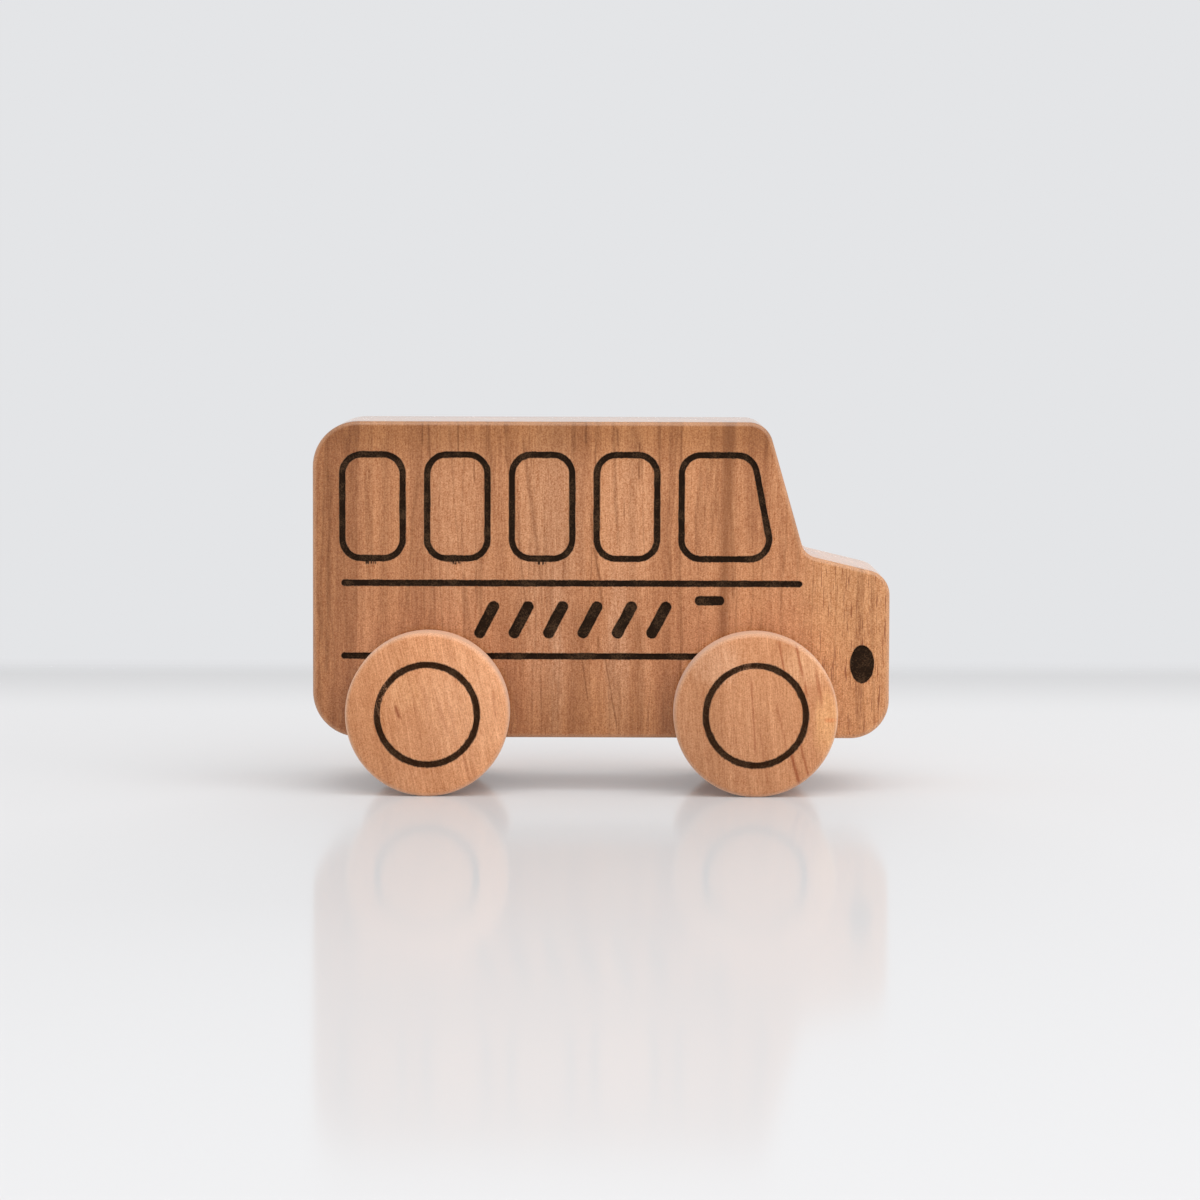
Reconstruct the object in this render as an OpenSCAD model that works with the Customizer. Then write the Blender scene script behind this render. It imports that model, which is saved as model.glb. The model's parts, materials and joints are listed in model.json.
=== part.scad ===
// Wooden toy bus: one sawn block on two dowel axles with four turned wheels.
// Millimetres, X towards the nose, Y towards the left side, Z up, floor at Z = 0.

/* [Body block] */
// Length of the body, rear end to nose
body_length = 124; // [118:1:150]
// Height of the body, underside to roof
body_height = 68; // [60:0.5:80]
// Thickness of the body, side face to side face
body_thickness = 38; // [30:1:60]
// Radius of the two rear corners of the outline
rear_corner_radius = 9.8; // [5:0.2:14]
// Radius of the corner between roof and windshield
roof_corner_radius = 5.4; // [4:0.2:9]
// Radius of the hollow between windshield and bonnet
cowl_radius = 4; // [3:0.5:8]
// Radius of the corner at the top of the nose
nose_corner_radius = 5.4; // [4:0.2:9]
// Radius of the corner under the nose
chin_corner_radius = 8.3; // [4:0.1:12]
// Length of the bonnet, foot of the windshield to nose
bonnet_length = 18.3; // [14:0.1:24]
// Height of the bonnet's front corner above the underside
nose_height = 35.2; // [28:0.1:40]
// Fall of the bonnet towards the nose, in degrees
bonnet_fall = 13.4; // [0:0.1:20]
// Lean of the windshield from upright, in degrees
windshield_lean = 16; // [5:0.5:30]
// Radius of the sanded edge round both side faces
edge_radius = 1; // [0.5:0.1:1.5]

/* [Wheels and axles] */
// Diameter of the wheels
wheel_diameter = 35; // [28:1:42]
// Thickness of the wheels
wheel_thickness = 10; // [8:0.5:16]
// Radius of the sanded rims of the wheels
wheel_edge_radius = 1; // [0.4:0.1:2]
// Gap between a wheel and the side of the body
side_gap = 1; // [0.5:0.1:3]
// Diameter of the axle dowels
axle_diameter = 6; // [4:0.5:8]
// Running clearance round an axle in the body, on the radius
axle_clearance = 0.3; // [0.2:0.05:0.6]
// Depth of the blind socket in a wheel
socket_depth = 7; // [4:0.5:7.5]
// Glue space round an axle in a wheel's socket, on the radius
glue_clearance = 0.05; // [0.02:0.01:0.15]
// Glue space between an axle's end and the floor of its socket
socket_end_space = 0.3; // [0.1:0.1:1]
// Chamfer on the ends of the axles
axle_chamfer = 0.6; // [0.2:0.1:1]
// Height of the axles above the underside of the body
axle_rise = 5.9; // [5:0.1:10]
// Rear end of the body to the rear axle
rear_overhang = 25; // [18:0.5:32]
// Rear axle to front axle
wheelbase = 70; // [56:0.5:76]

/* [Burnt marks] */
// Depth of the burnt marks
burn_depth = 0.3; // [0.2:0.05:0.6]
// Width of the burnt lines
line_width = 1.25; // [0.8:0.05:1.8]
// Radius of the ring on a wheel, at the middle of its line
ring_radius = 10.65; // [7:0.05:12]
// Number of equal windows behind the cab
window_count = 4; // [2:1:4]
// Width of a window, at the middle of its line
window_width = 12.95; // [10:0.05:14]
// Height of the windows, at the middle of the line
window_height = 22.3; // [18:0.1:24]
// Radius of the windows' corners, at the middle of the line
window_corner_radius = 4.2; // [2:0.1:5]
// Distance from one window to the next
window_pitch = 18.2; // [16:0.1:19]
// Rear end of the body to the rear line of the first window
window_setback = 6.4; // [5:0.1:9]
// Roof to the upper line of the windows
window_drop = 7.1; // [5:0.1:10]
// Windshield to the front line of the cab window, along the sill
pillar_foot = 7.1; // [4:0.1:10]
// Windshield to the front line of the cab window, along the head
pillar_head = 5; // [3:0.1:8]
// Lower line of the windows to the upper belt line
belt_drop = 5.3; // [3:0.1:7]
// Distance between the two belt lines
belt_spacing = 15.7; // [13:0.1:18]
// Rear end of the body to the belt lines
belt_setback = 6.2; // [4:0.1:10]
// Belt lines to the foot of the windshield
belt_stop = 0.6; // [0.2:0.1:4]
// Length of the door handle
handle_length = 6.2; // [4:0.1:8]
// Height of the door handle
handle_height = 1.9; // [1:0.1:2.5]
// Rear line of the cab window to the middle of the door handle
handle_setback = 6.1; // [4:0.1:9]
// Upper belt line to the middle of the door handle
handle_drop = 3.65; // [2.5:0.05:5]
// Length of the headlight
headlight_length = 5.05; // [3:0.05:6]
// Height of the headlight
headlight_height = 8.1; // [5:0.1:10]
// Middle of the headlight to the nose
headlight_setback = 5.9; // [5:0.1:8]
// Middle of the headlight above the underside
headlight_rise = 16.1; // [13:0.1:20]
// Number of slanted bars between the belt lines
bar_count = 6; // [3:1:7]
// Width of a slanted bar
bar_width = 2.3; // [1.5:0.1:3]
// Length of a slanted bar
bar_length = 8.6; // [6:0.1:10]
// Lean of the slanted bars from upright, in degrees
bar_lean = 28; // [0:1:35]
// Distance from one slanted bar to the next
bar_pitch = 7.4; // [5:0.1:7.8]
// Rear end of the body to the middle of the row of slanted bars
bar_row_setback = 55.9; // [50:0.1:60]

/* [Hidden] */
$fn = 96;

body_wood = "#bd8660";
wheel_wood = "#cf9a70";
axle_wood = "#d3a87c";

// Overlap of a cutting shape past the face that it opens
cut_over = 1;

wheel_radius = wheel_diameter / 2;
rear_x = -body_length / 2;
nose_x = body_length / 2;
rear_axle_x = rear_x + rear_overhang;
front_axle_x = rear_axle_x + wheelbase;
underside_z = wheel_radius - axle_rise;
roof_z = underside_z + body_height;
wheel_inner_y = body_thickness / 2 + side_gap;
axle_length = 2 * (wheel_inner_y + socket_depth - socket_end_space);

// Bonnet, and place of the windshield along X at height z
cowl_x = nose_x - bonnet_length;
nose_z = underside_z + nose_height;
cowl_z = nose_z + bonnet_length * tan(bonnet_fall);
function windshield_x(z) = cowl_x - (z - cowl_z) * tan(windshield_lean);

// Corners of the body's outline, anticlockwise from the rear end, each as [place, radius]
body_corners = [
    [[rear_x, underside_z], rear_corner_radius],
    [[nose_x, underside_z], chin_corner_radius],
    [[nose_x, nose_z], nose_corner_radius],
    [[cowl_x, cowl_z], cowl_radius],
    [[windshield_x(roof_z), roof_z], roof_corner_radius],
    [[rear_x, roof_z], rear_corner_radius]
];

// Straight steps that an outline's arc and a sanded edge are made of
arc_steps = 10;
edge_steps = 5;

// Places of the burnt marks on the side faces
window_head_z = roof_z - window_drop;
window_sill_z = window_head_z - window_height;
first_window_x = rear_x + window_setback;
cab_rear_x = first_window_x + window_count * window_pitch;
upper_belt_z = window_sill_z - belt_drop;
lower_belt_z = upper_belt_z - belt_spacing;
belt_rear_x = rear_x + belt_setback;
belt_front_x = cowl_x - belt_stop;

// Outlines. A corner is [place, radius], and the corners run anticlockwise.

function unit(v) = v / norm(v);
function turn_of(a, b) = atan2(a[0] * b[1] - a[1] * b[0], a * b);

// Side of the outline that leads from corner i to the next one
function side(corners, i) =
    let (count = len(corners))
    corners[(i + 1) % count][0] - corners[(i + count) % count][0];

// Points of the arc at corner i, on an outline that is moved outwards by grow
function arc_points(corners, i, grow) =
    let (before = unit(side(corners, i - 1)),
         after = unit(side(corners, i)),
         turn = turn_of(before, after),
         bend = sign(turn),
         radius = corners[i][1],
         middle = corners[i][0] + unit(after - before) * radius / cos(turn / 2),
         first = atan2(-before[0], before[1]),
         reach = bend * radius + grow)
    [for (step = [0 : arc_steps])
        let (angle = first + turn * step / arc_steps)
        middle + reach * [cos(angle), sin(angle)]];

// Points of a whole outline with rounded corners, moved outwards by grow
function outline_points(corners, grow = 0) =
    [for (i = [0 : len(corners) - 1]) each arc_points(corners, i, grow)];

// Flat shapes

// Line along a rounded outline
module outline_line(corners) {
    difference() {
        polygon(outline_points(corners, line_width / 2));
        polygon(outline_points(corners, -line_width / 2));
    }
}

// Straight stroke along X with round ends, about its middle
module stroke(length, width) {
    square([length - width, width], center = true);
    for (end = [-1, 1])
        translate([end * (length - width) / 2, 0]) circle(d = width);
}

// Body

// Levels through the block from its upper side face to its lower one, each as [height, inset]
edge_levels =
    [for (step = [0 : edge_steps])
        let (angle = 90 * step / edge_steps)
        [body_thickness / 2 - edge_radius * (1 - cos(angle)), edge_radius * (1 - sin(angle))]];
block_levels = concat(
    edge_levels,
    [for (i = [edge_steps : -1 : 0]) [-edge_levels[i][0], edge_levels[i][1]]]);

// Block with the body's outline and sanded edges, lying on its side about Z = 0
module lying_block() {
    loops = [for (level = block_levels)
        [for (p = outline_points(body_corners, -level[1])) [p[0], p[1], level[0]]]];
    count = len(loops[0]);
    bottom = count * (len(loops) - 1);
    walls = [for (k = [0 : len(loops) - 2], i = [0 : count - 1])
        let (j = (i + 1) % count, upper = k * count, lower = upper + count)
        each [[upper + i, upper + j, lower + j], [upper + i, lower + j, lower + i]]];
    upper_face = [0, for (i = [count - 1 : -1 : 1]) i];
    lower_face = [for (i = [0 : count - 1]) bottom + i];
    polyhedron([for (loop = loops) each loop], concat([upper_face, lower_face], walls));
}

// Window from its upright rear line to the front ends of its sill and its head
module window(rear, sill_front, head_front) {
    places = [[rear, window_sill_z], [sill_front, window_sill_z],
              [head_front, window_head_z], [rear, window_head_z]];
    outline_line([for (place = places) [place, window_corner_radius]]);
}

module equal_windows() {
    for (w = [0 : window_count - 1]) {
        rear = first_window_x + w * window_pitch;
        window(rear, rear + window_width, rear + window_width);
    }
}

// Window at the front, whose front line leans back with the windshield
module cab_window() {
    window(cab_rear_x, windshield_x(window_sill_z) - pillar_foot, windshield_x(window_head_z) - pillar_head);
}

module belt_line(height) {
    translate([(belt_rear_x + belt_front_x) / 2, height])
        stroke(belt_front_x - belt_rear_x, line_width);
}

module door_handle() {
    translate([cab_rear_x + handle_setback, upper_belt_z - handle_drop])
        stroke(handle_length, handle_height);
}

module headlight() {
    translate([nose_x - headlight_setback, underside_z + headlight_rise])
        polygon([for (angle = [0 : 360 / $fn : 359])
            [headlight_length / 2 * cos(angle), headlight_height / 2 * sin(angle)]]);
}

module slanted_bars() {
    for (bar = [0 : bar_count - 1])
        translate([rear_x + bar_row_setback + (bar - (bar_count - 1) / 2) * bar_pitch,
                   (upper_belt_z + lower_belt_z) / 2])
            rotate(90 - bar_lean) stroke(bar_length, bar_width);
}

// All marks of one side, cut into the upper face of the lying block
module burnt_marks() {
    translate([0, 0, body_thickness / 2 - burn_depth])
        linear_extrude(burn_depth + cut_over) {
            equal_windows();
            cab_window();
            for (height = [upper_belt_z, lower_belt_z]) belt_line(height);
            door_handle();
            headlight();
            slanted_bars();
        }
}

module axle_bores() {
    for (x = [rear_axle_x, front_axle_x])
        translate([x, wheel_radius, 0])
            cylinder(d = axle_diameter + 2 * axle_clearance,
                     h = body_thickness + 2 * cut_over, center = true);
}

module body() {
    color(body_wood)
        rotate([90, 0, 0])
            difference() {
                lying_block();
                axle_bores();
                for (flip = [0, 1]) mirror([0, 0, flip]) burnt_marks();
            }
}

// Wheelsets

// Dowel along Y through the body at a place along X
module axle(x) {
    radius = axle_diameter / 2;
    half = axle_length / 2;
    color(axle_wood)
        translate([x, 0, wheel_radius])
            rotate([90, 0, 0])
                rotate_extrude()
                    polygon([[0, -half], [radius - axle_chamfer, -half], [radius, axle_chamfer - half],
                             [radius, half - axle_chamfer], [radius - axle_chamfer, half], [0, half]]);
}

// Half section of a plain wheel with sanded rims, its axis along Y and its inner face at Y = 0
module wheel_section() {
    flat_radius = wheel_radius - wheel_edge_radius;
    square([flat_radius, wheel_thickness]);
    translate([0, wheel_edge_radius]) square([wheel_radius, wheel_thickness - 2 * wheel_edge_radius]);
    for (height = [wheel_edge_radius, wheel_thickness - wheel_edge_radius])
        translate([flat_radius, height]) circle(r = wheel_edge_radius);
}

// Wheel with a burnt ring on its outer face, its inner face at Z = 0
module lying_wheel() {
    difference() {
        rotate_extrude() wheel_section();
        translate([0, 0, wheel_thickness - burn_depth])
            rotate_extrude()
                translate([ring_radius - line_width / 2, 0]) square([line_width, burn_depth + cut_over]);
        translate([0, 0, -cut_over])
            cylinder(d = axle_diameter + 2 * glue_clearance, h = socket_depth + cut_over);
    }
}

// Wheel at a place along X, on the right (-1) or on the left (1)
module wheel(x, hand) {
    color(wheel_wood)
        translate([x, hand * wheel_inner_y, wheel_radius])
            rotate([-90 * hand, 0, 0]) lying_wheel();
}

body();
axle(rear_axle_x);  // rear_axle
axle(front_axle_x);  // front_axle
wheel(rear_axle_x, -1);  // rear_right_wheel
wheel(rear_axle_x, 1);  // rear_left_wheel
wheel(front_axle_x, -1);  // front_right_wheel
wheel(front_axle_x, 1);  // front_left_wheel
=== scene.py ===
"""Looks of a wooden toy bus: sanded wood, burnt marks, a pale polished floor and soft light.

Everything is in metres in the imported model's frame: X to the nose, Y to the left side, Z up.
The right side, which the camera faces, is at negative Y. Only the finishes are in millimetres,
measured from the centre of their piece.
"""

import json
import logging
import math
from dataclasses import dataclass, field
from enum import Enum

import bmesh
import bpy
import numpy as np
from mathutils import Euler, Matrix, Vector, geometry


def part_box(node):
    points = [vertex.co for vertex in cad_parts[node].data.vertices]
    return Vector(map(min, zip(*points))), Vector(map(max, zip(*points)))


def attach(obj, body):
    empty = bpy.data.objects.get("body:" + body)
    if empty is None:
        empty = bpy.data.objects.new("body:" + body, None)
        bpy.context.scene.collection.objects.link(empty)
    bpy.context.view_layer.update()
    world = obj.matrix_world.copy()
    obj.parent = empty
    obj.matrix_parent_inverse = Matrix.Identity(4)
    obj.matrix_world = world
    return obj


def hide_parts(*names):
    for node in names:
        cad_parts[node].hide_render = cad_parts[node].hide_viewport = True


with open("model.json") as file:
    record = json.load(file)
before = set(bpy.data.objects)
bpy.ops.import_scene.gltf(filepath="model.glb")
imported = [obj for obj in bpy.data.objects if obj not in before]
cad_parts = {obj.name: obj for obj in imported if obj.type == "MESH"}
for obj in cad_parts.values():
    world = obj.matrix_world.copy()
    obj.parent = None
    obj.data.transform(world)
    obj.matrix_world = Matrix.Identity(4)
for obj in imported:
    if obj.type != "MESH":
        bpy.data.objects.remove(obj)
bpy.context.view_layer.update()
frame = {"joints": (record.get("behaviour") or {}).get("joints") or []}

log = logging.getLogger("toy_bus")

MM = 0.001

# Steps of an outline's arc, an ellipse, a bore's rim, a sanded edge and a full turn
ARC_STEPS = 18
OVAL_STEPS = 72
BORE_STEPS = 54
EDGE_STEPS = 8
TURN_STEPS = 192
# Width of the flat band inside an edge that keeps the shading of the faces plain
GUIDE_BAND = 0.4 * MM
# Points closer than this are one point, and edges sharper than this show as creases
MERGE_GAP = 0.002 * MM
CREASE = math.radians(35)

# How charred the wood is at the lip of a mark and at the foot of its wall
LIP_BURN = 0.56
FOOT_BURN = 0.78
# How far the scorched halo reaches outside a mark, and how far inside a patch it is all charred
HALO = 0.32 * MM
CORE_INSET = 0.3 * MM
# Corner radius at a bar's round ends, as a share of its width
BAR_END = 0.48

# Settings of every smooth step, and inputs of every noise
SMOOTH = {"interpolation_type": "SMOOTHSTEP"}
NOISE = {"Scale": 1.0, "Roughness": 0.55}

Pair = tuple[float, float]
Triple = tuple[float, float, float]
Colour = tuple[float, float, float]
Socket = bpy.types.NodeSocket


class Hand(Enum):
    """Side of the bus, as the sign of its Y."""

    RIGHT = -1
    LEFT = 1


class MarkKind(Enum):
    """Whether a mark is burnt along its outline or all over."""

    LINE = "line"
    PATCH = "patch"


class LoopRole(Enum):
    """What a closed loop of points does on a side face."""

    BORDER = "border"
    HALO = "halo"
    LIP = "lip"
    CORE = "core"
    BORE = "bore"


class Feature(Enum):
    """A random feature of wood: its size across, through and along the grain, and its number of layers."""

    FIBRE = ((0.2, 0.2, 3.4), 2.0)
    SPECK = ((0.25, 0.25, 0.25), 1.0)
    CLOUD = ((3.0, 3.0, 3.0), 2.0)
    FRAY = ((0.5, 0.5, 3.0), 1.0)
    SWAY = ((14.0, 30.0, 45.0), 2.0)
    GAP = ((0.9, 0.9, 7.0), 2.0)
    PORE = ((0.3, 0.3, 2.4), 1.0)
    DASH = ((0.26, 0.26, 5.0), 1.0)
    SOOT = ((0.26, 0.26, 3.0), 1.0)
    HEART = ((60.0, 60.0, 26.0), 2.0)


def inside_loops(points: np.ndarray, loops: list[np.ndarray]) -> np.ndarray:
    """Whether points lie inside an odd number of closed loops.

    A ray from the point crosses an edge where the edge's ends lie on both sides of the point's height
    and the crossing lies ahead of the point.

    Args:
        points: Points to test, as rows of two.
        loops: Closed loops, each as rows of two.

    Returns:
        One truth value a point.
    """
    start = np.concatenate(loops)
    end = np.concatenate([np.roll(loop, -1, axis=0) for loop in loops])
    across, height = points[:, :1], points[:, 1:]
    spans = (start[:, 1] > height) != (end[:, 1] > height)
    with np.errstate(divide="ignore", invalid="ignore"):
        share = (height - start[:, 1]) / (end[:, 1] - start[:, 1])
        ahead = start[:, 0] + share * (end[:, 0] - start[:, 0]) > across
    return (spans & ahead).sum(axis=1) % 2 == 1


def quarter_arc() -> tuple[np.ndarray, np.ndarray, np.ndarray]:
    """Sine, cosine and pale share along a sanded edge, which is most half-way round.

    The pale share is partly sanding and partly a painted highlight.
    """
    angle = np.linspace(0, np.pi / 2, EDGE_STEPS + 1)
    return np.sin(angle), np.cos(angle), np.sin(2 * angle)


def placed(name: str, data: bpy.types.ID) -> bpy.types.Object:
    """Puts a mesh, lamp or camera into the scene.

    Args:
        name: Name of its object.
        data: The mesh, lamp or camera.

    Returns:
        The object, at the origin.
    """
    made = bpy.data.objects.new(name, data)
    bpy.context.scene.collection.objects.link(made)
    return made


@dataclass
class Surface:
    """Points and faces of a piece in the making.

    Each point carries how charred its wood is, and how pale its edge is from sanding and from a painted
    highlight, both from 0 to 1.
    """

    points: np.ndarray
    faces: list[np.ndarray]
    burn: np.ndarray
    wear_and_highlight: np.ndarray

    @staticmethod
    def swept(grid: np.ndarray, burn: np.ndarray, wear_and_highlight: np.ndarray) -> "Surface":
        """A surface of quads over a grid of points, whose columns close to a ring.

        Args:
            grid: The points, as rows and columns of three numbers.
            burn: Burn of each row.
            wear_and_highlight: Paleness of each row's edge, from sanding and a painted highlight.

        Returns:
            The surface, with its points numbered row by row.
        """
        rows, columns = grid.shape[:2]
        index = np.arange(rows * columns).reshape(rows, columns)
        index = np.concatenate([index, index[:, :1]], axis=1)
        corners = [index[:-1, :-1], index[:-1, 1:], index[1:, 1:], index[1:, :-1]]
        quads = np.stack(corners, axis=-1).reshape(-1, 4)
        return Surface(grid.reshape(-1, 3), [quads], np.repeat(burn, columns), np.repeat(wear_and_highlight, columns))

    @staticmethod
    def turned(profile: np.ndarray, centre: Vector, start: float, direction: int) -> "Surface":
        """A profile carried round an axis along Y: x = radius * cos(a), z = radius * sin(a).

        Args:
            profile: Rows of distance along the axis, radius, burn and wear.
            centre: A point of the axis.
            start: Place along Y where the profile starts.
            direction: Sign of Y along the axis.

        Returns:
            The closed surface of revolution.
        """
        angle = np.linspace(0, 2 * np.pi, TURN_STEPS, endpoint=False)
        along, radius, burn, wear_and_highlight = profile.T
        x = centre.x + np.outer(radius, np.cos(angle))
        y = np.broadcast_to((start + direction * along)[:, None], x.shape)
        z = centre.z + np.outer(radius, np.sin(angle))
        return Surface.swept(np.stack([x, y, z], axis=-1), burn, wear_and_highlight)

    @staticmethod
    def joined(parts: list["Surface"]) -> "Surface":
        """One surface from several.

        Args:
            parts: The surfaces, in order.

        Returns:
            All their points and faces, with the faces renumbered.
        """
        starts = np.cumsum([0] + [len(part.points) for part in parts[:-1]])
        faces = [block + start for part, start in zip(parts, starts) for block in part.faces]
        columns = zip(*((part.points, part.burn, part.wear_and_highlight) for part in parts))
        points, burn, wear_and_highlight = (np.concatenate(column) for column in columns)
        return Surface(points, faces, burn, wear_and_highlight)

    def piece(self, name: str) -> bpy.types.Object:
        """Makes the surface a closed mesh object with smooth shading between its creases.

        Args:
            name: Name of the object and its mesh.

        Returns:
            The object, at the origin, with its place in its mesh.
        """
        mesh = bpy.data.meshes.new(name)
        faces = [face for block in self.faces for face in block.tolist()]
        mesh.from_pydata(self.points.tolist(), [], faces)
        for label, values in (("burn", self.burn), ("wear_and_highlight", self.wear_and_highlight)):
            layer = mesh.attributes.new(label, "FLOAT", "POINT")
            layer.data.foreach_set("value", values.astype(np.float32))
        shell = bmesh.new()
        shell.from_mesh(mesh)
        bmesh.ops.remove_doubles(shell, verts=shell.verts, dist=MERGE_GAP)
        bmesh.ops.recalc_face_normals(shell, faces=shell.faces)
        shell.to_mesh(mesh)
        shell.free()
        mesh.shade_smooth()
        mesh.set_sharp_from_angle(angle=CREASE)
        return placed(name, mesh)


class Value:
    """A number in a shader, which adds Math nodes when it is used in an expression."""

    def __init__(self, shader: "Shader", socket: Socket) -> None:
        """Wraps an output socket of a shader's node."""
        self.shader = shader
        self.socket = socket

    def _math(self, operation: str, *operands: "Value | float") -> "Value":
        """Result of a Math node from its operands, in order."""
        node = self.shader.node("ShaderNodeMath", {"operation": operation}, dict(enumerate(operands)))
        return Value(self.shader, node.outputs[0])

    def __add__(self, other: "Value | float") -> "Value":
        """Sum."""
        return self._math("ADD", self, other)

    __radd__ = __add__

    def __sub__(self, other: "Value | float") -> "Value":
        """Difference."""
        return self._math("SUBTRACT", self, other)

    def __rsub__(self, other: float) -> "Value":
        """Difference from a plain number."""
        return self._math("SUBTRACT", other, self)

    def __mul__(self, other: "Value | float") -> "Value":
        """Product."""
        return self._math("MULTIPLY", self, other)

    __rmul__ = __mul__

    def __abs__(self) -> "Value":
        """Distance from zero."""
        return self._math("ABSOLUTE", self)

    def most(self, other: "Value | float") -> "Value":
        """The larger of two numbers."""
        return self._math("MAXIMUM", self, other)

    def wrap(self, length: float) -> "Value":
        """What is left over after whole lengths."""
        return self._math("FLOORED_MODULO", self, length)

    def step(self, low: float, high: float) -> "Value":
        """Smooth step from 0 at low to 1 at high, which falls where low is above high."""
        inputs = {"Value": self, "From Min": low, "From Max": high}
        return Value(self.shader, self.shader.node("ShaderNodeMapRange", SMOOTH, inputs).outputs[0])


class Shader:
    """A node tree in the making."""

    def __init__(self, tree: bpy.types.NodeTree) -> None:
        """Starts with the emptied tree of a material or a world."""
        self.tree = tree
        tree.nodes.clear()

    def node(
        self, kind: str, settings: dict[str, object], inputs: dict[int | str, object]
    ) -> bpy.types.Node:
        """Adds a node.

        Args:
            kind: The node's type.
            settings: Its own settings, which are set first.
            inputs: Values or links of its sockets, by name or number.

        Returns:
            The node.
        """
        made = self.tree.nodes.new(kind)
        for name, setting in settings.items():
            setattr(made, name, setting)
        for name, content in inputs.items():
            socket = made.inputs[name]
            source = content.socket if isinstance(content, Value) else content
            if isinstance(source, Socket):
                self.tree.links.new(source, socket)
            else:
                socket.default_value = source
        return made

    def vector(self, operation: str, *operands: object) -> Socket:
        """Result of a Vector Math node.

        Args:
            operation: The node's operation.
            operands: Vectors, in order, or a vector and a number for SCALE.

        Returns:
            The vector.
        """
        inputs = dict(enumerate(operands))
        if operation == "SCALE":
            inputs = {0: operands[0], "Scale": operands[1]}
        return self.node("ShaderNodeVectorMath", {"operation": operation}, inputs).outputs[0]

    def mix(self, factor: Value, first: Socket | Colour, second: Socket | Colour) -> Socket:
        """Colour between two colours.

        Args:
            factor: 0 for the first colour, 1 for the second.
            first: Colour at 0.
            second: Colour at 1.

        Returns:
            The colour.
        """
        colours = [(*part, 1.0) if isinstance(part, tuple) else part for part in (first, second)]
        inputs = {0: factor, 6: colours[0], 7: colours[1]}
        return self.node("ShaderNodeMix", {"data_type": "RGBA"}, inputs).outputs[2]

    def blend(self, factor: Value, first: bpy.types.Node, second: bpy.types.Node) -> bpy.types.Node:
        """Mix Shader node between two shader nodes, 0 for the first and 1 for the second."""
        inputs = {0: factor, 1: first.outputs[0], 2: second.outputs[0]}
        return self.node("ShaderNodeMixShader", {}, inputs)

    def attribute(self, name: str) -> Value:
        """Number that the mesh carries at each point."""
        return Value(self, self.node("ShaderNodeAttribute", {"attribute_name": name}, {}).outputs["Fac"])

    def seen(self) -> Value:
        """What the camera sees, also in a reflection or through glass.

        Returns:
            1 there, and 0 for light that bounces.
        """
        path = self.node("ShaderNodeLightPath", {}, {})
        rays = ("Is Camera Ray", "Is Glossy Ray", "Is Transmission Ray")
        camera, glossy, through = (Value(self, path.outputs[name]) for name in rays)
        return camera.most(glossy).most(through)

    def place(self, centre: Vector) -> Socket:
        """Place on the piece in millimetres from its centre."""
        coordinates = self.node("ShaderNodeTexCoord", {}, {}).outputs["Object"]
        return self.vector("SCALE", self.vector("SUBTRACT", coordinates, tuple(centre)), 1 / MM)

    def turned(self, place: Socket, shift: Triple, tilt: float) -> Socket:
        """Place in a pattern that leans to negative X by the tilt, in radians, and is then shifted."""
        inputs = {"Vector": place, "Location": shift, "Rotation": (0.0, tilt, 0.0)}
        return self.node("ShaderNodeMapping", {"vector_type": "POINT"}, inputs).outputs[0]

    def split(self, vector: Socket) -> tuple[Value, Value, Value]:
        """The three numbers of a vector."""
        node = self.node("ShaderNodeSeparateXYZ", {}, {0: vector})
        return tuple(Value(self, socket) for socket in node.outputs)

    def combine(self, *parts: Value) -> Socket:
        """A vector from its three numbers."""
        return self.node("ShaderNodeCombineXYZ", {}, dict(enumerate(parts))).outputs[0]

    def noise(self, place: Socket, size: Triple, detail: float) -> Value:
        """Smooth noise from 0 to 1, with its largest features' size along X, Y and Z and finer layers."""
        inputs = {"Vector": self.vector("DIVIDE", place, size), "Detail": detail, **NOISE}
        return Value(self, self.node("ShaderNodeTexNoise", {}, inputs).outputs[0])


@dataclass(frozen=True)
class Spot:
    """Any place on a piece, as its shader sees it.

    x, y and z are its distances from the piece's centre, and grain is the same place in the wood's own
    turned pattern. fibre and speck are the two finest features of the wood there.
    """

    shader: Shader
    x: Value
    y: Value
    z: Value
    grain: Socket
    fibre: Value
    speck: Value

    def feature(self, feature: Feature) -> Value:
        """A random feature of the wood there, from 0 to 1."""
        return self.shader.noise(self.grain, *feature.value)


@dataclass(frozen=True)
class Streak:
    """A dark line of growth along the grain.

    Its path is x = at + lean * z between the heights low and high, where it fades out over twice the
    length fade.
    """

    at: float
    lean: float
    width: float
    depth: float
    low: float
    high: float
    fade: float = 2.0

    def mask(self, x: Value, z: Value) -> Value:
        """How dark the streak is.

        Args:
            x: Place across the grain.
            z: Place along it.

        Returns:
            A number from 0 to the streak's depth.
        """
        away = abs(x - self.at - self.lean * z)
        rise = z.step(self.low - self.fade, self.low + self.fade)
        fall = z.step(self.high + self.fade, self.high - self.fade)
        return self.depth * away.step(self.width, 0.0) * rise * fall


@dataclass(frozen=True)
class SoftOval:
    """An upright oval on a face that fades from its middle to its border."""

    at: Pair
    size: Pair
    depth: float

    def mask(self, x: Value, z: Value) -> Value:
        """How strong the oval is.

        Args:
            x: Place across the grain.
            z: Place along it.

        Returns:
            A number from 0 to the oval's depth.
        """
        across = (x - self.at[0]) * (1 / self.size[0])
        along = (z - self.at[1]) * (1 / self.size[1])
        return self.depth * (across * across + along * along).step(1.0, 0.0)


@dataclass(frozen=True)
class Patch(SoftOval):
    """A soft oval of another tone in the wood."""

    tone: Colour


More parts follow.
